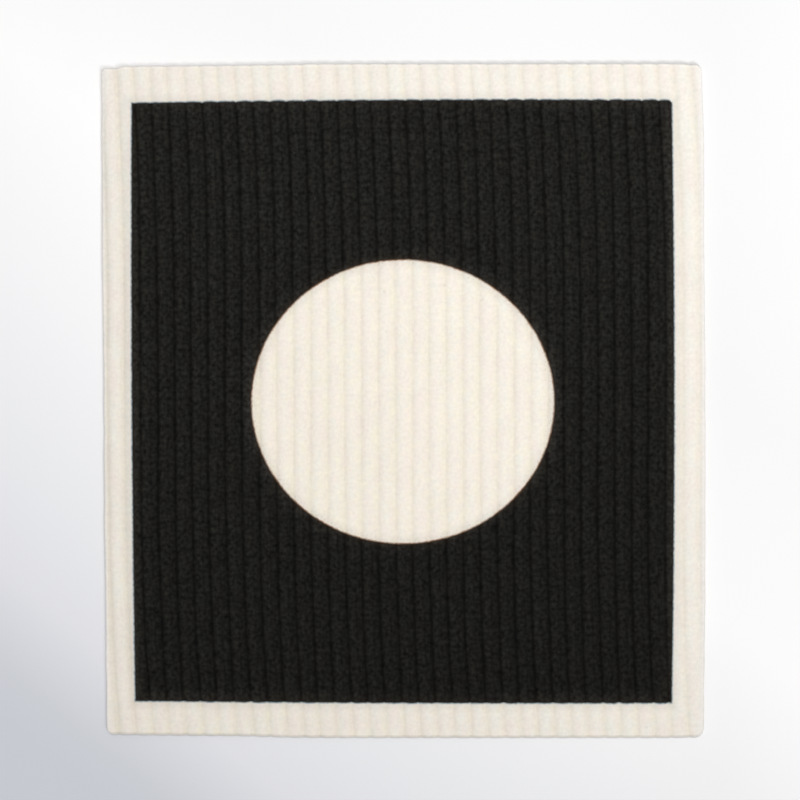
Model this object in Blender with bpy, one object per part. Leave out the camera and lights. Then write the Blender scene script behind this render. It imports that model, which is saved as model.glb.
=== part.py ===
"""Dish cloth: a ribbed sheet of cellulose sponge, printed with a black field round a plain disc.

Metres, +Z up. The cloth lies flat with its print up, its length and its ribs along Y. The origin is
at the centre of the cut outline, on the surface that the cloth lies on. It is made as the real one
is: a ribbed web is formed, printed on one face and cut to its outline by a die.
"""

import math

import bmesh
import bpy
from mathutils import Vector

# The cut sheet
CLOTH_WIDTH = 0.179  # across the ribs
CLOTH_LENGTH = 0.200  # along the ribs
CLOTH_THICKNESS = 0.0021  # dry, at the crest of a rib
RIM_ROUND = 0.00045  # how far the soft upper rim is rounded off
UNDER_RIM_ROUND = 0.00025

# How far each corner of the cut lies inside the full width and length
TOP_LEFT_DROP = 0.0011
BOTTOM_LEFT_DROP = 0.0009
BOTTOM_LEFT_DRAW = 0.0016
TOP_RIGHT_DRAW = 0.0010
BOTTOM_RIGHT_DRAW = 0.0004

# How far the middle of each side bows out from a straight line between its corners
LEFT_BOW = 0.00015
RIGHT_BOW = 0.00065
TOP_BOW = 0.0006
BOTTOM_BOW = 0.0005

# How far each corner is rounded by wear
TOP_LEFT_RADIUS = 0.0010
TOP_RIGHT_RADIUS = 0.0017
BOTTOM_RIGHT_RADIUS = 0.0027
BOTTOM_LEFT_RADIUS = 0.0022

# The ribs, which both faces share
RIB_PITCH = 0.00502
GROOVE_SHIFT = 0.00237  # from the centre line to the first groove on its right
GROOVE_DEPTH = 0.0006  # on the printed face
CROWN_FULLNESS = 2.5  # 2 makes a rib half round, more makes its crown broader
UNDER_GROOVE_DEPTH = 0.00035
UNDER_GROOVE_WIDTH = 0.0018  # the rest of each rib is a flat land

# How the ribs run out of true, reached at SWAY_REACH from the centre
SWAY_REACH = 0.089
RIB_SWAY = 0.0019  # to the left at the top and to the right at the bottom
RIB_DRAW_IN = 0.00046  # towards the centre line, at both ends
RIB_SPREAD = 0.00033  # away from the centre line at the top, and towards it at the bottom

# The print
LEFT_MARGIN = 0.0086
RIGHT_MARGIN = 0.0088
TOP_MARGIN = 0.0106
BOTTOM_MARGIN = 0.0102
DISC_WIDTH = 0.0899
DISC_LENGTH = 0.0843

# Fineness of the mesh
CROWN_STEPS = 6
SWAY_STEPS = 10
SIDE_STEPS = 8
CORNER_STEPS = 4
RIM_STEPS = 2
DISC_STEPS = 72

SHARP_ANGLE = math.radians(35)  # edges that turn more than this are shaded as creases

WEB_MARGIN = 0.004  # how far the web runs past the die, on every side
DIE_CLEARANCE = 0.00005  # between the flat of the die and the faces of the web
FACING_UP = 0.1  # the printed side's faces have normals that rise more than this


def clear_scene():
    for item in list(bpy.data.objects):
        bpy.data.objects.remove(item, do_unlink=True)


def material(name, colour, roughness):
    made = bpy.data.materials.new(name)
    made.use_nodes = True
    made.diffuse_color = (*colour, 1.0)
    shader = made.node_tree.nodes["Principled BSDF"]
    shader.inputs["Base Color"].default_value = (*colour, 1.0)
    shader.inputs["Roughness"].default_value = roughness
    shader.inputs["Metallic"].default_value = 0.0
    return made


def collection(name):
    made = bpy.data.collections.new(name)
    bpy.context.scene.collection.children.link(made)
    return made


def mesh_object(name, bm, home):
    mesh = bpy.data.meshes.new(name)
    bm.to_mesh(mesh)
    bm.free()
    mesh.shade_smooth()
    mesh.set_sharp_from_angle(angle=SHARP_ANGLE)
    made = bpy.data.objects.new(name, mesh)
    home.objects.link(made)
    return made


def outline_corners(left, right, top, bottom):
    """The corners of the cut, anticlockwise from the lower left, moved in by a margin on each side."""
    half_width, half_length = CLOTH_WIDTH / 2, CLOTH_LENGTH / 2
    return [
        Vector((BOTTOM_LEFT_DRAW + left - half_width, BOTTOM_LEFT_DROP + bottom - half_length)),
        Vector((half_width - BOTTOM_RIGHT_DRAW - right, bottom - half_length)),
        Vector((half_width - TOP_RIGHT_DRAW - right, half_length - top)),
        Vector((left - half_width, half_length - TOP_LEFT_DROP - top)),
    ]


def bowed_side(start, end, bow):
    """Points from start to end, on a shallow arc that bows out to the right of that line."""
    along = end - start
    outward = Vector((along.y, -along.x)).normalized()
    points = []
    for step in range(SIDE_STEPS + 1):
        share = step / SIDE_STEPS
        points.append(start + along * share + outward * bow * 4 * share * (1 - share))
    return points


def rounded_corner(before, corner, after, radius):
    """An arc of this radius in the corner between two straight sides."""
    back = (before - corner).normalized()
    on = (after - corner).normalized()
    half_angle = back.angle(on) / 2
    centre = corner + (back + on).normalized() * radius / math.sin(half_angle)
    start = corner + back * radius / math.tan(half_angle)
    turn = math.pi - 2 * half_angle
    spoke = start - centre
    points = []
    for step in range(CORNER_STEPS + 1):
        angle = turn * step / CORNER_STEPS
        cosine, sine = math.cos(angle), math.sin(angle)
        points.append(centre + Vector((
            spoke.x * cosine - spoke.y * sine,
            spoke.x * sine + spoke.y * cosine,
        )))
    return points


def bowed_outline(corners, radii=None):
    """A closed outline with bowed sides, and with the corners rounded where radii are given."""
    bows = (BOTTOM_BOW, RIGHT_BOW, TOP_BOW, LEFT_BOW)
    sides = [
        bowed_side(corner, corners[(index + 1) % 4], bows[index])
        for index, corner in enumerate(corners)
    ]
    outline = []
    for index, side in enumerate(sides):
        if not radii:
            outline += side[:-1]
            continue
        before = sides[index - 1][-2]
        outline += rounded_corner(before, corners[index], side[1], radii[index])
        outline += side[1:-1]
    return outline


def fitted(outline, reference):
    """The outline, moved and scaled as makes the reference exactly the cloth's size and centred."""
    low = Vector((min(point.x for point in reference), min(point.y for point in reference)))
    high = Vector((max(point.x for point in reference), max(point.y for point in reference)))
    middle, size = (low + high) / 2, high - low
    return [
        Vector((
            (point.x - middle.x) * CLOTH_WIDTH / size.x,
            (point.y - middle.y) * CLOTH_LENGTH / size.y,
        ))
        for point in outline
    ]


def cut_and_print_outlines():
    """The outline of the cut, and that of the printed field, which keeps its margins to it."""
    radii = (BOTTOM_LEFT_RADIUS, BOTTOM_RIGHT_RADIUS, TOP_RIGHT_RADIUS, TOP_LEFT_RADIUS)
    cut = bowed_outline(outline_corners(0.0, 0.0, 0.0, 0.0), radii)
    field_corners = outline_corners(LEFT_MARGIN, RIGHT_MARGIN, TOP_MARGIN, BOTTOM_MARGIN)
    field = bowed_outline(field_corners)
    return fitted(cut, cut), fitted(field, cut)


def disc_outline():
    """The bare disc, centred between the margins."""
    centre_x = (LEFT_MARGIN - RIGHT_MARGIN) / 2
    centre_y = (BOTTOM_MARGIN - TOP_MARGIN) / 2
    points = []
    for step in range(DISC_STEPS):
        angle = math.tau * (step + 0.5) / DISC_STEPS
        points.append(Vector((
            centre_x + DISC_WIDTH / 2 * math.cos(angle),
            centre_y + DISC_LENGTH / 2 * math.sin(angle),
        )))
    return points


def sway(x, y):
    """How far a rib's line lies to the right of where a true one would, at this place."""
    across, along = x / SWAY_REACH, y / SWAY_REACH
    return RIB_SPREAD * across * along - RIB_SWAY * along**3 - RIB_DRAW_IN * across * along**2


def crown_height(share):
    """Height of the printed face at this share of the way from one groove to the next."""
    from_crest = abs(2 * share - 1)
    rise = max(0.0, 1 - from_crest**CROWN_FULLNESS) ** 0.5
    return CLOTH_THICKNESS - GROOVE_DEPTH * (1 - rise)


def web_section():
    """The web's section across its ribs, as a closed list of x and z."""
    furthest_along = (CLOTH_LENGTH / 2 + WEB_MARGIN) / SWAY_REACH
    lean = (RIB_SWAY + RIB_DRAW_IN + RIB_SPREAD) * furthest_along**3
    reach = CLOTH_WIDTH / 2 + WEB_MARGIN + lean
    first = math.floor((-reach - GROOVE_SHIFT) / RIB_PITCH)
    last = math.ceil((reach - GROOVE_SHIFT) / RIB_PITCH)
    crowns, lands = [], []
    for rib in range(first, last):
        groove = GROOVE_SHIFT + rib * RIB_PITCH
        for step in range(CROWN_STEPS):
            share = (1 - math.cos(math.pi * step / CROWN_STEPS)) / 2
            crowns.append((groove + share * RIB_PITCH, crown_height(share)))
        lands.append((groove, UNDER_GROOVE_DEPTH))
        lands.append((groove + UNDER_GROOVE_WIDTH / 2, 0.0))
        lands.append((groove + RIB_PITCH - UNDER_GROOVE_WIDTH / 2, 0.0))
    edge = GROOVE_SHIFT + last * RIB_PITCH
    crowns.append((edge, crown_height(0.0)))
    lands.append((edge, UNDER_GROOVE_DEPTH))
    return lands + crowns[::-1]


def ribbed_web():
    """The endless ribbed web, a little longer and wider than the die."""
    bm = bmesh.new()
    start = -CLOTH_LENGTH / 2 - WEB_MARGIN
    stride = Vector((0.0, -2 * start / SWAY_STEPS, 0.0))
    front = bm.faces.new([bm.verts.new((x, start, z)) for x, z in web_section()])
    for step in range(SWAY_STEPS):
        swept = bmesh.ops.extrude_face_region(bm, geom=[front])["geom"]
        if step:
            bmesh.ops.delete(bm, geom=[front], context="FACES_ONLY")
        front = next(item for item in swept if isinstance(item, bmesh.types.BMFace))
        bmesh.ops.translate(bm, verts=front.verts, vec=stride)
    for vert in bm.verts:
        vert.co.x += sway(vert.co.x, vert.co.y)
    bmesh.ops.recalc_face_normals(bm, faces=bm.faces)
    return bm


def face_meets(face, low, high):
    return all(
        min(vert.co[axis] for vert in face.verts) <= high[axis]
        and max(vert.co[axis] for vert in face.verts) >= low[axis]
        for axis in (0, 1)
    )


def score_along(bm, outline):
    """Cuts the faces of the printed side along an outline, so that edges run along it."""
    for start, end in zip(outline, outline[1:] + outline[:1]):
        low = (min(start.x, end.x), min(start.y, end.y))
        high = (max(start.x, end.x), max(start.y, end.y))
        faces = [
            face for face in bm.faces
            if face.normal.z > FACING_UP and face_meets(face, low, high)
        ]
        edges = dict.fromkeys(edge for face in faces for edge in face.edges)
        verts = dict.fromkeys(vert for face in faces for vert in face.verts)
        bmesh.ops.bisect_plane(
            bm,
            geom=[*faces, *edges, *verts],
            plane_co=(start.x, start.y, 0.0),
            plane_no=(end.y - start.y, start.x - end.x, 0.0),
        )


def encloses(outline, point):
    """Whether the outline runs round the point, by counting the sides to the right of it."""
    odd = False
    for start, end in zip(outline, outline[1:] + outline[:1]):
        if (start.y > point.y) == (end.y > point.y):
            continue
        share = (point.y - start.y) / (end.y - start.y)
        if start.x + share * (end.x - start.x) > point.x:
            odd = not odd
    return odd


def print_web(bm, field, disc):
    """Gives the field its ink, and leaves the disc and the margins bare."""
    score_along(bm, field)
    score_along(bm, disc)
    for face in bm.faces:
        middle = face.calc_center_median()
        printed_side = face.normal.z > FACING_UP
        inked = printed_side and encloses(field, middle) and not encloses(disc, middle)
        face.material_index = 1 if inked else 0


def rim_edges(bm, height):
    return [
        edge for edge in bm.edges
        if all(abs(vert.co.z - height) < DIE_CLEARANCE / 2 for vert in edge.verts)
    ]


def die(outline, home):
    """The block inside the die's blade. Its rounded rims stand for the soft edge of the sponge."""
    bottom, top = -DIE_CLEARANCE, CLOTH_THICKNESS + DIE_CLEARANCE
    bm = bmesh.new()
    floor = bm.faces.new([bm.verts.new((point.x, point.y, bottom)) for point in outline])
    raised = bmesh.ops.extrude_face_region(bm, geom=[floor])["geom"]
    lid = [item for item in raised if isinstance(item, bmesh.types.BMVert)]
    bmesh.ops.translate(bm, verts=lid, vec=(0.0, 0.0, top - bottom))
    bmesh.ops.recalc_face_normals(bm, faces=bm.faces)
    for height, radius, steps in ((top, RIM_ROUND, RIM_STEPS), (bottom, UNDER_RIM_ROUND, 1)):
        bmesh.ops.bevel(
            bm,
            geom=rim_edges(bm, height),
            offset=radius,
            segments=steps,
            profile=0.5,
            affect="EDGES",
        )
    made = mesh_object("die", bm, home)
    made.hide_render = True
    made.display_type = "WIRE"
    return made


def dish_cloth(parts, cutters):
    outline, field = cut_and_print_outlines()
    web = ribbed_web()
    print_web(web, field, disc_outline())
    cloth = mesh_object("dish_cloth", web, parts)
    cloth.data.materials.append(material("cellulose_sponge", (0.86, 0.80, 0.70), 0.95))
    cloth.data.materials.append(material("black_ink", (0.012, 0.012, 0.011), 0.85))
    cut = cloth.modifiers.new("die_cut", "BOOLEAN")
    cut.operation = "INTERSECT"
    cut.solver = "EXACT"
    cut.object = die(outline, cutters)
    return cloth


def main():
    clear_scene()
    dish_cloth(collection("dish_cloth_part"), collection("cutters"))


main()
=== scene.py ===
"""Looks of the dish cloth: one ribbed sheet of cellulose sponge with a black print soaked into it.

The mesh is worked out in millimetres, with the ribs and the length of the cloth along Y, and scaled
to metres once. Its outline, ribs and print follow part.py, and add what a sponge does to them.
"""

import math

import bpy
import numpy as np
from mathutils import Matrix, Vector

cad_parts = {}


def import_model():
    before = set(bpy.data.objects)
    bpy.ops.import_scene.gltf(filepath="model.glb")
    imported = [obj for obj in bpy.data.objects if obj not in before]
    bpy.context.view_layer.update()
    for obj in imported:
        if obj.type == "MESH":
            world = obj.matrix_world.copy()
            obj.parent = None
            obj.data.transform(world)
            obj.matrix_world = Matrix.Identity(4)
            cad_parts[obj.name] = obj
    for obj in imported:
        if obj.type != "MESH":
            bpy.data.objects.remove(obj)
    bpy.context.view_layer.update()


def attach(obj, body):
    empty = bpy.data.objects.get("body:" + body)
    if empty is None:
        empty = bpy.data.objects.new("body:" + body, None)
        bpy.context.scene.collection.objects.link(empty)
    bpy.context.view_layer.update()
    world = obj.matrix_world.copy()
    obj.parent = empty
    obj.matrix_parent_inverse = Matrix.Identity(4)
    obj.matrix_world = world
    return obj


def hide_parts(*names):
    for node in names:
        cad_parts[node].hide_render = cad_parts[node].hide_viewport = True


MM = 0.001
NODE = "dish_cloth"
SEED = 11
LENGTH = 200.0

# Where the sides of the cut run: places along a side, and how far out it lies there
CUT_LEFT = (
    (-100, -87.9), (-80, -88.15), (-60, -88.3), (-36, -88.7), (10, -88.9), (45, -89.35), (99, -89.5)
)
CUT_RIGHT = (
    (-100, 89.0), (-78, 89.25), (-62, 89.5), (9, 89.5), (32, 89.25), (80, 89.05), (100, 88.4)
)
CUT_BOTTOM = (
    (-88, -99.0), (-64, -99.3), (-46, -99.45), (-34, -99.85), (-18, -100), (78, -100), (89, -99.8)
)
CUT_TOP = (
    (-89, 98.5), (-85, 98.6), (-83, 99.2), (-62, 99.4), (-36, 99.7), (-26, 99.95), (80, 100), (89, 99.6)
)
CORNER_RADII = {(-1, 1): 1.1, (1, 1): 1.8, (1, -1): 2.7, (-1, -1): 2.2}
RIM_SCALLOP = 0.12  # how far the ends of the ribs stand out past the ends of the grooves
RIM_SCALLOP_LEVEL = 0.7  # the height on a rib, as a share, at which the cut runs on its line
RIM_WANDER, RIM_WANDER_LENGTH = 0.07, 7.0

# The rim's section: how far out each step lies from the flat face, and how far below or above a face
RIM_ROUND = 0.65
RIM_DOWN = ((0.28, 0.05), (0.52, 0.21), (0.65, 0.5))
RIM_UNDER = ((0.65, 0.42), (0.5, 0.1))
RIM_UNROLLED = 0.35  # between those steps on the map
RIM_FACE_SHARE = 0.8  # of the rim's painted shade or light, where the face begins to round off
LEFT_RIM_PAINTED_LIGHT, RIGHT_RIM_PAINTED_LIGHT = 0.8, 0.3  # how much painted light the rim gets at the sides, where it gets 1 along the top

# The ribs, as in part.py
THICKNESS = 2.1
RIB_PITCH = 5.02
GROOVE_SHIFT = 2.37
SWAY_REACH = 88.95
RIB_SWAY = 1.9  # to the left at the top and to the right at the bottom
RIB_SLANT, SIDE_SLANT = 0.16, 0.21  # to the left at the top, and less so towards both sides
RIB_BOW = 0.05
RIB_SPREAD, RIB_DRAW_IN = 0.33, 0.46  # out at the top and in at the bottom, and in at both ends
CROWN_FULLNESS = 3.0
GROOVE_SHARE = 0.6  # of the depth, what is in the groove itself and not in the rib's crown
GROOVE_HALF = 0.84
GROOVE_DEPTH = 0.38
UNDER_GROOVE_DEPTH = 0.35
UNDER_GROOVE_WIDTH = 1.8
FIRST_GROOVE, LAST_GROOVE = -17, 16  # the outermost grooves that run clear of the side edges
GROOVE_REACH = 0.48  # how far the painted shade and pooled ink of a groove spread to each side
LEFT_DEEPER = 0.7  # how much deeper the grooves are by the left edge, as a share
LEFT_ZONE = (-89.5, -79.0)
SECOND_SHARE = 0.58  # where a shallower groove runs, of the way from one groove to the next
SECOND_DEPTH = 0.09
SECOND_WIDTH = 0.06  # as a share of the rib
PAINTED_WARM_LIGHT_SHARE = 0.85  # where each rib gets the most painted warm light on the cream and the least painted sheen on the ink
PAINTED_LIGHT_SHARE = 0.73  # and where it gets the most painted light

# How the real ribs stray from that, and the length over which they do
GROOVE_WANDERS = ((0.16, 34.0), (0.07, 9.0))
GROOVE_UNEVEN, GROOVE_UNEVEN_LENGTH = 0.3, 8.0  # as a share of the depth
CREST_STRAY, CREST_STRAY_LENGTH = 0.24, 22.0  # as a share of the rib
SECOND_SHOWS, SECOND_LENGTH = 0.3, 26.0  # how much of the second groove there is on average
CREST_DROP = 0.06  # the crests lie this far below the full thickness, to leave room for the lumps
LUMPS = ((0.045, 7.0, 10.0), (0.04, 2.6, 3.6), (0.02, 1.3, 2.4))  # their height, width and length

# The print
FIELD_LEFT = (-79.5, -80.6, -0.5)  # at the bottom, at the top, and how far its middle bows out
FIELD_RIGHT = (79.6, 79.6, 0.75)
FIELD_BOTTOM = (-89.0, -89.6, -0.3)  # at the left, at the right, and so on
FIELD_TOP = (88.3, 89.2, 0.48)
PRINT_SCALLOP, PRINT_SCALLOP_LENGTH = 0.15, 90.0
PRINT_SCALLOP_LEVEL = 0.6  # the height on a rib, as a share, at which the print ends on its line
CORNER_DIP, CORNER_REACH = 0.9, 1.8  # where the print falls short of its upper right corner
DISC_CENTRE = (-0.15, -0.25)
DISC_RADII = (44.95, 42.15)
BARE_RIM = (-10.0, -20.0, -20.0)  # the ink's depths on the rim
BARE_UNDER = (-20.0, -20.0, -20.0)
UNDER_BELOW = -15.0  # the underside is where the depth inside the field's sides is less than this

# Fineness of the mesh. The underside has every third row and column of the printed face
COARSER = 3
RIB_SHARES = (0.0, 0.04, 0.09, 0.15, 0.24, 0.37, 0.5, 0.58, 0.66, 0.78, 0.88, 0.95)
FINE_STEP = 0.3  # next to the edges
FINE_STEPS = 9
SIDE_COLUMNS = 24
ROWS = 177

# The UV map: where each face begins on it, and how wide it is there
MAP_HALF = (92.0, 102.5)  # half of what the map holds, across and along
PRINTED_MAP = (0.01, 0.64)
UNDER_MAP = (0.67, 0.32)

# Colours
CREAM_WARM = (0.876, 0.822, 0.692)
CREAM_COOL = (0.862, 0.841, 0.776)
CREAM_PINK = (0.882, 0.788, 0.730)
# the colour of the painted shade in the grooves
GROOVE_PAINTED_SHADE_COLOUR = (0.75, 0.69, 0.54)
EDGE_PALE = (0.846, 0.820, 0.786)
FRINGE_BROWN = (0.30, 0.15, 0.07)
FRINGE_GREY = (0.31, 0.40, 0.45)
SPECK = (0.35, 0.29, 0.22)
INK_BROWN = (0.0108, 0.0103, 0.0088)
INK_BLUE = (0.0104, 0.0105, 0.0099)

# How the colours vary. Each row says what a share or tone depends on, two levels of it, and the shares
# or tones there. The shares of the warm cream are added up, and the tones are multiplied
WARM_SHARES = (
    ("patch", 0.2, 0.8, -0.4, 0.8),
    # painted warm light on one side of each rib
    ("rib_warm_painted_light", -1.0, 1.0, -0.2, 0.2),
    ("by_disc", 0.0, 1.0, 0.0, 0.44),
    # painted light: cooler towards the top right
    ("up_right", -180.0, 180.0, 0.12, -0.28),
)
CREAM_TONES = (
    ("cloud", 0.2, 0.8, 0.953, 1.047),
    # painted light on one side of each rib
    ("rib_painted_light", -1.0, 1.0, 0.987, 1.013),
    # painted shade on the rim along the bottom, and painted light on it along the top and sides
    ("rim", 0.0, 1.0, 1.0, 0.8),
    ("rim", -1.0, 0.0, 1.07, 1.0),
    ("by_disc", 0.0, 1.0, 0.979, 1.008),
    # painted light: brighter towards the top
    ("up", -100.0, 100.0, 0.985, 1.02),
    ("patch", 0.2, 0.8, 0.98, 1.02),
    ("blotch", 0.25, 0.75, 0.98, 1.02),
)
INK_TONES = (
    ("mottle", 0.2, 0.8, 0.22, 1.78),
    ("streak", 0.25, 0.75, 0.82, 1.18),
    ("crinkle", 0.25, 0.75, 0.88, 1.12),
    ("patch", 0.25, 0.75, 0.92, 1.08),
    # darker in the grooves: partly pooled ink, partly painted shade
    ("groove", 0.0, 1.0, 1.0, 0.42),
    ("second", 0.0, 1.0, 1.0, 0.78),
    # painted sheen on the ink on the side of each rib away from the painted warm light
    ("rib_warm_painted_light", -1.0, 1.0, 1.14, 0.92),
    # painted light: the ink paler towards the top
    ("up_left", -120.0, 120.0, 0.78, 1.2),
)

# The rest of the cream. Four numbers together are two levels, and the shares or tones there
PINK_BY_TINT = (0.3, 0.7, 0.02, 0.78)
GROOVE_PAINTED_SHADE, GROOVE_PAINTED_SHADE_POWER = 0.26, 0.2  # painted shade in the grooves; a low power makes it wider than the relief's own shade
PALE_BY_CUT = (-9.0, -6.9, 0.75, 0.0)
TONE_BY_INK = (-3.4, -0.2, 1.0, 0.9)
LEFT_PAINTED_SHADE, LEFT_PAINTED_SHADE_POWER = 0.067, 0.16  # painted shade in the grooves by the left edge
SPECKS = (0.83, 0.9, 0.0, 0.14)
DOTS, DOTS_BY_INK = (0.58, 0.74, 0.0, 0.22), (-2.6, -0.3, 0.0, 1.0)  # finer specks by the disc's edge

# The rest of the ink, which is paler towards its edges and most of all at the sides. Two numbers
# together are the levels where a share begins and where it is full
BROWN_BY_TINT = (0.34, 0.6, 0.12, 0.88)
PALER_SIDEWAYS = (0.0, 2000.0, 0.27, 0.62)  # by the square of the way across
PALER_BY_INK = (0.3, 5.0, 1.0, 0.0)
PALER_BY_SLANT = (-110.0, -30.0, 0.5, 1.0)
BROWN_BY_INK, BROWN_BY_DISC = (0.4, 3.4, 0.011, 0.0), (0.0, 1.3, 0.02, 0.0)
RAGGED = (0.0, 1.0, -0.17, 0.17)  # how far the ink's edge moves with the mottle
FRINGE, FRINGE_BY_TINT = (-0.6, 0.05), (0.3, 0.7, 0.55, 1.0)
INK_EDGE = (-0.35, 0.32)

# Noises: how their places are stretched, and their scale, detail and roughness
EVEN = (1.0, 1.0, 1.0)
NOISES = {
    "blotch": (EVEN, 0.12, 2.0, 0.5),
    "tint": ((1.6, 0.7, 1.0), 0.22, 2.0, 0.5),
    "patch": (EVEN, 0.42, 2.0, 0.5),
    "cloud": (EVEN, 0.95, 1.0, 0.4),
    "mottle": (EVEN, 0.9, 1.0, 0.4),
    "pitting": ((1.0, 0.9, 1.0), 0.9, 1.0, 0.4),
    "grain": (EVEN, 1.9, 1.0, 0.5),
    "streak": ((1.3, 0.28, 1.0), 1.0, 2.0, 0.5),
    "crinkle": ((0.25, 1.2, 1.0), 1.0, 2.0, 0.5),
    "specks": (EVEN, 0.45, 0.0, 0.5),
    "dots": (EVEN, 1.7, 0.0, 0.5),
}

# The ways in which colours and painted light change from one side of the cloth to the other
DIRECTIONS = {
    "across": (1.0, 0.0, 0.0),
    "up": (0.0, 1.0, 0.0),
    "up_right": (1.0, 1.0, 0.0),
    "up_left": (-0.37, 1.0, 0.0),
    "down_right": (0.4, -1.0, 0.0),
}

# The sponge's fine relief and sheen
RELIEF = {"pitting": 0.9, "grain": 0.15, "streak": 0.35, "crinkle": 0.45}
RELIEF_DEPTH = 0.14
ROUGHNESS_BY_MOTTLE = (0.3, 0.7, 0.84, 0.98)
SPONGE_SPECULAR = 0.08

# The ground
GROUND_HALF = 3.0  # in metres
GROUND_DROP = 0.02  # below the underside, so that the two don't share a plane
GROUND_SLANT = (0.8, 1.0, 0.0)
GROUND = (  # places along that slanted way, and the ground's colours there, greyed by painted shade towards the lower left
    (-190, (0.618, 0.640, 0.701)),
    (-175, (0.636, 0.657, 0.703)),
    (-145, (0.777, 0.783, 0.826)),
    (-110, (0.830, 0.839, 0.867)),
    (-50, (0.914, 0.914, 0.934)),
    (10, (0.971, 0.968, 0.976)),
    (80, (0.900, 0.898, 0.904)),
)
GROUND_ACROSS = (-120.0, 120.0, 1.036, 0.962)  # painted light and shade from side to side, which even out the lamp's beam
GROUND_RIGHT = (95.0, 118.0, 1.0, 1.037)  # where painted light makes it paler again

# The picture, as the photograph is framed
VIEW_WIDTH = 237.2
VIEW_CENTRE = (-1.01, 0.24)
LENS = 250.0
CLIP = (0.1, 20.0)  # in metres


def line(knots, place):
    """How far out a side of the cut lies at a place along it."""
    places, offsets = zip(*knots)
    return np.interp(place, places, offsets)


def bowed(side, share):
    """How far out a side of the field lies at a share of the way along it."""
    start, end, bow = side
    return start + (end - start) * share + 4 * bow * share * (1 - share)


def lattice(rng, across, along, cell_across, cell_along):
    """Smooth random values between -1 and 1, which change over cells of this size."""
    u = (across - across.min()) / cell_across
    v = (along - along.min()) / cell_along
    column, row = np.floor(u).astype(int), np.floor(v).astype(int)
    knots = rng.uniform(-1, 1, (column.max() + 2, row.max() + 2))
    s, t = u - column, v - row
    s, t = s * s * (3 - 2 * s), t * t * (3 - 2 * t)
    near = knots[column, row] * (1 - t) + knots[column, row + 1] * t
    far = knots[column + 1, row] * (1 - t) + knots[column + 1, row + 1] * t
    return near * (1 - s) + far * s


def sway(x, y):
    """How far a rib's line lies to the right of where a true one would, at this place."""
    u, v = x / SWAY_REACH, y / SWAY_REACH
    middle = RIB_BOW * v**2 - RIB_SLANT * v - RIB_SWAY * v**3
    return middle + u * (RIB_SPREAD * v - RIB_DRAW_IN * v**2) + SIDE_SLANT * u**2 * v


def groove_lines(rng, y):
    """The grooves' numbers, and where each groove runs at each y."""
    numbers = np.arange(FIRST_GROOVE - 3, LAST_GROOVE + 4)
    number, along = np.meshgrid(numbers * 1.0, y)
    true = GROOVE_SHIFT + RIB_PITCH * number
    wander = sum(reach * lattice(rng, number, along, 1.0, length) for reach, length in GROOVE_WANDERS)
    return numbers, true + sway(true, along) + wander


def from_groove(phase):
    """How far a place lies from the nearest groove, on a rib of the usual width."""
    return np.abs(phase - np.round(phase)) * RIB_PITCH


def crown(phase):
    """A rib's profile, from 0 in the grooves to 1 on the crest."""
    from_crest = np.abs(2 * (phase % 1) - 1)
    groove = np.exp(-((from_groove(phase) / GROOVE_HALF) ** 2))
    return 1 - GROOVE_SHARE * groove - (1 - GROOVE_SHARE) * from_crest**CROWN_FULLNESS


def second_groove(phase):
    """How deep a place lies in a rib's second groove, from 0 to 1."""
    return np.exp(-(((phase % 1 - SECOND_SHARE) / SECOND_WIDTH) ** 2))


def columns_of_row(left, grooves, right):
    """Places across one row: fine steps in from both edges, and the same shares of every rib."""
    fine = FINE_STEP * np.arange(FINE_STEPS)
    coarse = SIDE_COLUMNS - FINE_STEPS + 2
    ribs = grooves[:-1, None] + np.diff(grooves)[:, None] * np.array(RIB_SHARES)
    return np.concatenate([
        left + fine[:-1],
        np.linspace(left + fine[-1], grooves[0], coarse)[:-1],
        ribs.ravel(),
        np.linspace(grooves[-1], right - fine[-1], coarse),
        (right - fine[:-1])[::-1],
    ])


def row_shares():
    """Shares of the length at which the rows lie, finer towards both ends."""
    fine = FINE_STEP * np.arange(FINE_STEPS) / LENGTH
    middle = np.linspace(fine[-1], 1 - fine[-1], ROWS - 2 * FINE_STEPS + 3)
    return np.concatenate([fine[:-1], middle, (1 - fine[:-1])[::-1]])


def round_corners(x, y, left, right, bottom, top):
    """Moves the vertices in each corner square onto a quarter disc."""
    for (side, end), outer_radius in CORNER_RADII.items():
        radius = outer_radius - RIM_ROUND
        edge_x, edge_y = (right if side > 0 else left), (top if end > 0 else bottom)
        across = 1 - np.abs(edge_x - x) / radius
        along = 1 - np.abs(edge_y - y) / radius
        inside = (across > 0) & (along > 0)
        a, b = across[inside], along[inside]
        x[inside] = (edge_x - side * radius)[inside] + side * radius * a * np.sqrt(1 - b * b / 2)
        y[inside] = (edge_y - end * radius)[inside] + end * radius * b * np.sqrt(1 - a * a / 2)


def face_grid(rng):
    """x, y and rib phase of the printed face's vertices, out to where the rim begins to round off."""
    share = row_shares()
    true_y = (share - 0.5) * LENGTH
    numbers, lines = groove_lines(rng, true_y)
    side, along = np.meshgrid((0.0, 1.0), true_y)
    wander = RIM_WANDER * lattice(rng, side, along, 1.0, RIM_WANDER_LENGTH)
    left = line(CUT_LEFT, true_y) + RIM_ROUND + wander[:, 0]
    right = line(CUT_RIGHT, true_y) - RIM_ROUND + wander[:, 1]
    clear = (numbers >= FIRST_GROOVE) & (numbers <= LAST_GROOVE)
    rows = range(len(share))
    x = np.stack([columns_of_row(left[row], lines[row, clear], right[row]) for row in rows])
    phase = np.stack([np.interp(x[row], lines[row], numbers) for row in rows])
    scallop = RIM_SCALLOP * (crown(phase) - RIM_SCALLOP_LEVEL)
    bottom = line(CUT_BOTTOM, x) + RIM_ROUND - scallop
    top = line(CUT_TOP, x) - RIM_ROUND + scallop
    y = bottom + (top - bottom) * share[:, None]
    sides = np.broadcast_to(left[:, None], x.shape), np.broadcast_to(right[:, None], x.shape)
    round_corners(x, y, *sides, bottom, top)
    return x, y, phase


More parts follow.
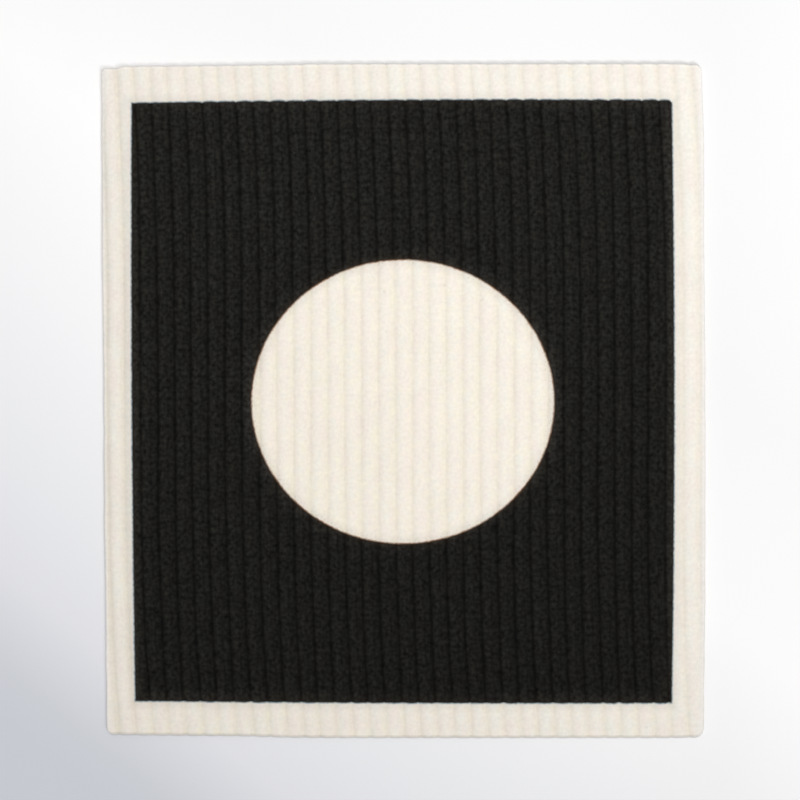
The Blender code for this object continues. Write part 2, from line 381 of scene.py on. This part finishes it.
def face_height(rng, x, y, phase):
    """Height of the printed face: ribs of uneven depth and fullness, on a sponge that isn't flat."""
    rib, nearest = np.floor(phase), np.round(phase)
    across = phase - rib
    stray = CREST_STRAY * lattice(rng, rib, y, 1.0, CREST_STRAY_LENGTH)
    uneven = GROOVE_UNEVEN * lattice(rng, nearest, y, 1.0, GROOVE_UNEVEN_LENGTH)
    depth = GROOVE_DEPTH * (1 + uneven) * np.interp(x, LEFT_ZONE, (1 + LEFT_DEEPER, 1))
    second = np.clip(SECOND_SHOWS + lattice(rng, rib, y, 1.0, SECOND_LENGTH), 0, 1)
    height = THICKNESS - CREST_DROP - depth * (1 - crown(across + stray * across * (1 - across)))
    height -= SECOND_DEPTH * second * second_groove(phase)
    for lump, width, length in LUMPS:
        height += lump * lattice(rng, x, y, width, length)
    return height


def ink_depths(rng, x, y, phase):
    """How far a place lies inside the field's sides and its ends, and outside the disc."""
    share_x = (x - FIELD_LEFT[1]) / (FIELD_RIGHT[1] - FIELD_LEFT[1])
    share_y = (y - FIELD_BOTTOM[0]) / (FIELD_TOP[0] - FIELD_BOTTOM[0])
    uneven = 1 + lattice(rng, np.floor(phase), y, 1.0, PRINT_SCALLOP_LENGTH)
    scallop = PRINT_SCALLOP * uneven * (crown(phase) - PRINT_SCALLOP_LEVEL)
    sides = np.minimum(x - bowed(FIELD_LEFT, share_y), bowed(FIELD_RIGHT, share_y) - x)
    ends = np.minimum(y - bowed(FIELD_BOTTOM, share_x), bowed(FIELD_TOP, share_x) - y) + scallop
    near_side = np.clip(1 - sides / CORNER_REACH, 0, 1)
    ends -= np.where((x > 0) & (y > 0), CORNER_DIP * near_side**3, 0)
    u, v = x - DISC_CENTRE[0], y - DISC_CENTRE[1]
    reach = np.hypot(u / DISC_RADII[0], v / DISC_RADII[1])
    slope = np.hypot(u / DISC_RADII[0] ** 2, v / DISC_RADII[1] ** 2)
    disc = reach * (reach - 1) / np.maximum(slope, 1e-6)
    return sides, ends, disc


def under_height(phase):
    """Height of the underside, which lies on a flat land under each rib."""
    return UNDER_GROOVE_DEPTH * np.clip(1 - 2 * from_groove(phase) / UNDER_GROOVE_WIDTH, 0, 1)


def boundary(rows, columns):
    """The edge vertices of a grid, anticlockwise from its first corner, as rows and columns."""
    ahead, up = np.arange(columns), np.arange(rows)
    row = np.concatenate([0 * ahead, up, 0 * ahead + rows, rows - up])
    column = np.concatenate([ahead, 0 * up + columns, columns - ahead, 0 * up])
    return row, column


def outward(x, y):
    """Unit vectors out of a closed anticlockwise loop."""
    along_x = np.roll(x, -1) - np.roll(x, 1)
    along_y = np.roll(y, -1) - np.roll(y, 1)
    reach = np.hypot(along_x, along_y)
    return along_y / reach, -along_x / reach


def grid_quads(rows, columns, first):
    """Quads of a grid of vertices, which are numbered row by row from the first."""
    corner = first + np.arange(rows)[:, None] * (columns + 1) + np.arange(columns)
    quads = np.stack([corner, corner + 1, corner + columns + 2, corner + columns + 1], -1)
    return quads.reshape(-1, 4)


def ring_quads(inner, outer):
    """Quads between two closed loops of vertices."""
    return np.stack([inner, outer, np.roll(outer, -1), np.roll(inner, -1)], -1)


class Sheet:
    """Vertices and faces of the closed sheet, gathered part by part."""

    ATTRIBUTES = ("sides", "ends", "disc", "rim", "groove", "second", "rib_warm_painted_light", "rib_painted_light")

    def __init__(self):
        self.points, self.printed_uv, self.under_uv = [], [], []
        self.values = {name: [] for name in self.ATTRIBUTES}
        self.faces, self.on_printed_map = [], []
        self.count = 0

    def add_vertices(self, x, y, z, phase, inks, rim=0.0, unrolled=0.0, out=(0.0, 0.0)):
        """Adds vertices and returns their numbers. Unrolled says how far out they lie on the map."""
        x, y, z, phase = (np.ravel(values) for values in (x, y, z, phase))
        flat_x, flat_y = x + out[0] * unrolled, y + out[1] * unrolled
        u, v = flat_x / MAP_HALF[0] / 2 + 0.5, flat_y / MAP_HALF[1] / 2 + 0.5
        self.points.append(np.stack([x, y, z], -1))
        self.printed_uv.append(np.stack([PRINTED_MAP[0] + PRINTED_MAP[1] * u, v], -1))
        self.under_uv.append(np.stack([UNDER_MAP[0] + UNDER_MAP[1] * u, v], -1))
        groove = np.exp(-((from_groove(phase) / GROOVE_REACH) ** 2))
        # painted warm light and painted light on one side of each rib
        rib_warm_painted_light = np.cos(2 * np.pi * (phase - PAINTED_WARM_LIGHT_SHARE))
        rib_painted_light = np.cos(2 * np.pi * (phase - PAINTED_LIGHT_SHARE))
        found = (*inks, rim, groove, second_groove(phase), rib_warm_painted_light, rib_painted_light)
        for name, values in zip(self.ATTRIBUTES, found):
            self.values[name].append(np.broadcast_to(np.ravel(values), x.shape))
        first = self.count
        self.count += len(x)
        return np.arange(first, self.count)

    def add_faces(self, faces, on_printed_map):
        self.faces += faces.tolist()
        self.on_printed_map += [on_printed_map] * len(faces)

    def mesh(self, name):
        made = bpy.data.meshes.new(name)
        made.from_pydata((np.concatenate(self.points) * MM).tolist(), [], self.faces)
        for name, values in self.values.items():
            layer = made.attributes.new(name, "FLOAT", "POINT")
            layer.data.foreach_set("value", np.concatenate(values).astype(np.float32))
        corner_vertex = np.zeros(len(made.loops), np.int32)
        made.loops.foreach_get("vertex_index", corner_vertex)
        printed = np.repeat(self.on_printed_map, [len(face) for face in self.faces])
        printed_uv, under_uv = np.concatenate(self.printed_uv), np.concatenate(self.under_uv)
        uv = np.where(printed[:, None], printed_uv[corner_vertex], under_uv[corner_vertex])
        made.uv_layers.new(name="OFBake").data.foreach_set("uv", uv.astype(np.float32).ravel())
        made.shade_smooth()
        return made


def rim_painted_shade(out_x, out_y):
    """The painted shade on the rim that faces this way: 1 at the bottom, -1 for painted light at the
    top, between at the sides.
    """
    return -out_y - np.where(out_x < 0, LEFT_RIM_PAINTED_LIGHT, RIGHT_RIM_PAINTED_LIGHT) * np.abs(out_x)


def cloth_mesh(rng):
    """The closed sheet: its printed face, its rim and its coarser underside."""
    x, y, phase = face_grid(rng)
    height = face_height(rng, x, y, phase)
    inks = ink_depths(rng, x, y, phase)
    rows, columns = x.shape[0] - 1, x.shape[1] - 1
    sheet = Sheet()

    edge = boundary(rows, columns)
    out = np.array(outward(x[edge], y[edge]))
    # the rim's painted shade along the bottom and painted light along the top and sides
    shade = rim_painted_shade(*out)
    rim = np.zeros(x.shape)
    rim[edge] = RIM_FACE_SHARE * shade
    face = sheet.add_vertices(x, y, height, phase, inks, rim)
    sheet.add_faces(grid_quads(rows, columns, 0), True)

    inner = face.reshape(x.shape)[edge]
    under = under_height(phase)
    steps = [(reach, height[edge] - drop) for reach, drop in RIM_DOWN]
    steps += [(reach, under[edge] + rise) for reach, rise in RIM_UNDER]
    for number, (reach, z) in enumerate(steps):
        place = x[edge] + out[0] * reach, y[edge] + out[1] * reach
        unrolled = RIM_UNROLLED * (number + 1) - reach
        outer = sheet.add_vertices(*place, z, phase[edge], BARE_RIM, shade, unrolled, out)
        sheet.add_faces(ring_quads(inner, outer), True)
        inner = outer

    every = (slice(None, None, COARSER), slice(None, None, COARSER))
    base = sheet.add_vertices(x[every], y[every], under[every], phase[every], BARE_UNDER)
    coarse_rows, coarse_columns = rows // COARSER, columns // COARSER
    sheet.add_faces(grid_quads(coarse_rows, coarse_columns, base[0])[:, ::-1], False)
    base_edge = base.reshape(coarse_rows + 1, -1)[boundary(coarse_rows, coarse_columns)]
    thirds = [np.roll(inner, -step)[::COARSER] for step in range(COARSER, 0, -1)]
    seam = np.stack([inner[::COARSER], base_edge, np.roll(base_edge, -1), *thirds], -1)
    sheet.add_faces(seam, False)
    return sheet.mesh("sponge_cloth")


class Nodes:
    """A material's node tree. Each call adds a node, gives it its inputs and returns its output."""

    def __init__(self, name):
        self.material = bpy.data.materials.new(name)
        self.material.use_nodes = True
        self.tree = self.material.node_tree
        self.shader = self.tree.nodes["Principled BSDF"]

    def feed(self, socket, value):
        if isinstance(value, bpy.types.NodeSocket):
            self.tree.links.new(value, socket)
        elif isinstance(value, tuple) and len(value) == 3 and socket.type == "RGBA":
            socket.default_value = (*value, 1.0)
        else:
            socket.default_value = value

    def add(self, kind, inputs, output=0, **settings):
        node = self.tree.nodes.new(kind)
        for name, value in settings.items():
            setattr(node, name, value)
        for name, value in inputs.items():
            self.feed(node.inputs[name], value)
        return node.outputs[output]

    def place(self):
        """The place on the object, in millimetres."""
        place = self.add("ShaderNodeTexCoord", {}, "Object")
        return self.stretched(place, (1 / MM, 1 / MM, 1 / MM))

    def attribute(self, name):
        return self.add("ShaderNodeAttribute", {}, "Fac", attribute_name=name)

    def combined(self, operation, first, *others):
        for other in others:
            first = self.add("ShaderNodeMath", {0: first, 1: other}, operation=operation)
        return first

    def sum(self, *values):
        return self.combined("ADD", *values)

    def times(self, *values):
        return self.combined("MULTIPLY", *values)

    def power(self, value, exponent):
        return self.combined("POWER", value, exponent)

    def least(self, first, second):
        return self.combined("MINIMUM", first, second)

    def less(self, first, second):
        """1 where the first is less than the second, and 0 elsewhere."""
        return self.combined("LESS_THAN", first, second)

    def stretched(self, vector, factors):
        return self.add("ShaderNodeVectorMath", {0: vector, 1: factors}, operation="MULTIPLY")

    def along(self, vector, direction):
        inputs = {0: vector, 1: direction}
        return self.add("ShaderNodeVectorMath", inputs, "Value", operation="DOT_PRODUCT")

    def noise(self, vector, scale, detail, roughness):
        """Noise from about 0.2 to 0.8, with features of about half a unit over scale."""
        inputs = {"Vector": vector, "Scale": scale, "Detail": detail, "Roughness": roughness}
        return self.add("ShaderNodeTexNoise", inputs)

    def linear(self, value, low, high, to_low, to_high, interpolation="LINEAR"):
        """Goes from one number to another as the value goes from its low level to its high one."""
        inputs = {
            "Value": value, "From Min": low, "From Max": high, "To Min": to_low, "To Max": to_high
        }
        return self.add("ShaderNodeMapRange", inputs, interpolation_type=interpolation)

    def ramp(self, value, low, high, to_low=0.0, to_high=1.0):
        """The same, but starts and ends gently."""
        return self.linear(value, low, high, to_low, to_high, "SMOOTHSTEP")

    def graded(self, values, rows):
        """What each row says for its value."""
        return [self.linear(values[name], *levels) for name, *levels in rows]

    def mix(self, share, first, second):
        """The first colour with this share of the second. That node's colours are at 6 and 7, and 2."""
        return self.add("ShaderNodeMix", {0: share, 6: first, 7: second}, 2, data_type="RGBA")

    def shade(self, colour, brightness):
        """The colour times a brightness."""
        scale = self.add("ShaderNodeCombineXYZ", {"X": brightness, "Y": brightness, "Z": brightness})
        return self.stretched(colour, scale)

    def surface(self, inputs):
        for name, value in inputs.items():
            self.feed(self.shader.inputs[name], value)
        return self.material


def sponge_values(nodes):
    """Everything that the sponge's colour and relief depend on, by name."""
    place = nodes.place()
    values = {name: nodes.attribute(name) for name in Sheet.ATTRIBUTES}
    for name, direction in DIRECTIONS.items():
        values[name] = nodes.along(place, direction)
    for name, (stretch, scale, detail, roughness) in NOISES.items():
        values[name] = nodes.noise(nodes.stretched(place, stretch), scale, detail, roughness)
    field = nodes.least(values["sides"], values["ends"])
    values["ink"] = nodes.least(field, values["disc"])
    values["by_disc"] = nodes.less(values["disc"], field)
    return values


def cream_colour(nodes, values):
    """The bare sponge: patchy, with olive painted shade in its grooves and more by the left edge, paler
    by the side cuts, with a few specks, and with painted light and shade on its rim, on one side of
    each rib and from bottom to top.
    """
    cream = nodes.mix(nodes.sum(*nodes.graded(values, WARM_SHARES)), CREAM_COOL, CREAM_WARM)
    cream = nodes.mix(nodes.linear(values["tint"], *PINK_BY_TINT), cream, CREAM_PINK)
    # painted shade in the grooves, with an olive hue
    groove_painted_shade = nodes.times(nodes.power(values["groove"], GROOVE_PAINTED_SHADE_POWER), GROOVE_PAINTED_SHADE)
    cream = nodes.mix(groove_painted_shade, cream, GROOVE_PAINTED_SHADE_COLOUR)
    by_cut = nodes.ramp(values["sides"], *PALE_BY_CUT)
    on_face = nodes.less(UNDER_BELOW, values["sides"])
    cream = nodes.mix(nodes.times(by_cut, on_face), cream, EDGE_PALE)

    # painted shade in the grooves by the left edge
    left = nodes.linear(values["across"], *LEFT_ZONE, LEFT_PAINTED_SHADE, 0.0)
    left = nodes.times(left, nodes.power(values["groove"], LEFT_PAINTED_SHADE_POWER))
    left_painted_shade = nodes.linear(left, 0.0, 1.0, 1.0, 0.0)
    ink_tone = nodes.ramp(values["ink"], *TONE_BY_INK)
    tones = nodes.graded(values, CREAM_TONES)
    cream = nodes.shade(cream, nodes.times(*tones, ink_tone, left_painted_shade))

    cream = nodes.mix(nodes.ramp(values["specks"], *SPECKS), cream, SPECK)
    by_edge = nodes.times(values["by_disc"], nodes.ramp(values["ink"], *DOTS_BY_INK))
    dots = nodes.times(nodes.ramp(values["dots"], *DOTS), by_edge)
    return nodes.mix(dots, cream, SPECK)


def black_colour(nodes, values):
    """The ink: streaked, darker in the grooves from pooled ink and painted shade, with painted sheen on
    one side of each rib, paler towards the top from painted light, and paler and browner towards its
    edges.
    """
    sideways = nodes.times(values["across"], values["across"])
    paler = nodes.times(
        nodes.linear(sideways, *PALER_SIDEWAYS),
        nodes.ramp(values["ink"], *PALER_BY_INK),
        nodes.linear(values["down_right"], *PALER_BY_SLANT),
    )
    tone = nodes.times(*nodes.graded(values, INK_TONES), nodes.sum(paler, 1.0))
    black = nodes.mix(nodes.linear(values["tint"], *BROWN_BY_TINT), INK_BLUE, INK_BROWN)
    by_disc = nodes.times(values["by_disc"], nodes.ramp(values["ink"], *BROWN_BY_DISC))
    brown = nodes.sum(by_disc, nodes.ramp(values["ink"], *BROWN_BY_INK))
    return nodes.mix(brown, nodes.shade(black, tone), FRINGE_BROWN)


def printed_colour(nodes, values):
    """Cream and black, with a fringe where the ink's ragged edge has soaked out."""
    inked = nodes.sum(values["ink"], nodes.linear(values["mottle"], *RAGGED))
    fringe = nodes.times(nodes.ramp(inked, *FRINGE), nodes.linear(values["tint"], *FRINGE_BY_TINT))
    fringe_colour = nodes.mix(values["by_disc"], FRINGE_GREY, FRINGE_BROWN)
    colour = nodes.mix(fringe, cream_colour(nodes, values), fringe_colour)
    return nodes.mix(nodes.ramp(inked, *INK_EDGE), colour, black_colour(nodes, values))


def fine_relief(nodes, values):
    height = nodes.sum(*(nodes.times(values[name], share) for name, share in RELIEF.items()))
    inputs = {"Height": height, "Strength": 1.0, "Distance": RELIEF_DEPTH * MM}
    return nodes.add("ShaderNodeBump", inputs)


def sponge_material():
    """Cream cellulose sponge, with black ink where the depths inside the print say so."""
    nodes = Nodes("printed_cellulose_sponge")
    values = sponge_values(nodes)
    return nodes.surface({
        "Base Color": printed_colour(nodes, values),
        "Normal": fine_relief(nodes, values),
        "Roughness": nodes.linear(values["mottle"], *ROUGHNESS_BY_MOTTLE),
        "Specular IOR Level": SPONGE_SPECULAR,
    })


def floor_material():
    """White ground with painted shade that greys it in front of the cloth's left, and painted light and
    shade that even out the lamp's beam on it.
    """
    nodes = Nodes("pale_ground")
    place = nodes.place()
    start, end = GROUND[0][0], GROUND[-1][0]
    share = nodes.linear(nodes.along(place, GROUND_SLANT), start, end, 0.0, 1.0)
    ramp = nodes.tree.nodes.new("ShaderNodeValToRGB")
    stops = ramp.color_ramp.elements
    for number, (along, colour) in enumerate(GROUND):
        stop = stops[number] if number < 2 else stops.new(1.0)
        stop.position = (along - start) / (end - start)
        stop.color = (*colour, 1.0)
    nodes.feed(ramp.inputs["Fac"], share)
    across = nodes.along(place, (1.0, 0.0, 0.0))
    tone = nodes.times(nodes.linear(across, *GROUND_ACROSS), nodes.linear(across, *GROUND_RIGHT))
    return nodes.surface({
        "Base Color": nodes.shade(ramp.outputs["Color"], tone),
        "Roughness": 1.0,
        "Specular IOR Level": 0.0,
    })


def floor():
    mesh = bpy.data.meshes.new("floor")
    corners = (-1, -1), (1, -1), (1, 1), (-1, 1)
    points = [(x * GROUND_HALF, y * GROUND_HALF, -GROUND_DROP * MM) for x, y in corners]
    mesh.from_pydata(points, [], [(0, 1, 2, 3)])
    mesh.materials.append(floor_material())
    made = bpy.data.objects.new("floor", mesh)
    bpy.context.scene.collection.objects.link(made)


def aim(made, place, target=(0.0, 0.0, 0.0)):
    made.location = place
    made.rotation_euler = (Vector(target) - Vector(place)).to_track_quat("-Z", "Y").to_euler()
    bpy.context.scene.collection.objects.link(made)


def soft_box(name, place, size, watts, colour):
    """A square soft lamp that faces the cloth."""
    light = bpy.data.lights.new(name, "AREA")
    light.size, light.energy, light.color = size, watts, colour
    aim(bpy.data.objects.new(name, light), place)


def spot(name, place, target, angle, radius, watts, colour):
    """A soft lamp whose beam is brightest at its target and falls off to its edge."""
    light = bpy.data.lights.new(name, "SPOT")
    light.spot_size, light.spot_blend = math.radians(angle), 1.0
    light.shadow_soft_size, light.energy, light.color = radius, watts, colour
    aim(bpy.data.objects.new(name, light), place, target)


def world(colour, strength):
    made = bpy.data.worlds.new("room")
    made.use_nodes = True
    background = made.node_tree.nodes["Background"]
    background.inputs["Color"].default_value = (*colour, 1.0)
    background.inputs["Strength"].default_value = strength
    bpy.context.scene.world = made


def camera():
    """Straight above the cloth, far off and with a long lens."""
    data = bpy.data.cameras.new("camera")
    data.lens = LENS
    made = bpy.data.objects.new("camera", data)
    distance = VIEW_WIDTH * MM * LENS / data.sensor_width
    made.location = (VIEW_CENTRE[0] * MM, VIEW_CENTRE[1] * MM, distance + THICKNESS * MM)
    data.clip_start, data.clip_end = CLIP
    bpy.context.scene.collection.objects.link(made)
    bpy.context.scene.camera = made


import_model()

cloth = bpy.data.objects.new("sponge_cloth", cloth_mesh(np.random.default_rng(SEED)))
bpy.context.scene.collection.objects.link(cloth)
cloth.data.materials.append(sponge_material())
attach(cloth, "root")
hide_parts(NODE)

floor()
spot(
    "key", place=(0.38, -0.42, 0.85), target=(0.06, 0.125, 0.0), angle=34.0, radius=0.2, watts=19.2,
    colour=(0.97, 0.99, 1.0),
)
soft_box("overhead", place=(0.0, 0.0, 2.4), size=1.2, watts=20.3, colour=(1.0, 0.99, 0.975))
world(colour=(1.0, 0.995, 0.985), strength=0.487)
camera()
bpy.context.scene.view_settings.view_transform = "Standard"
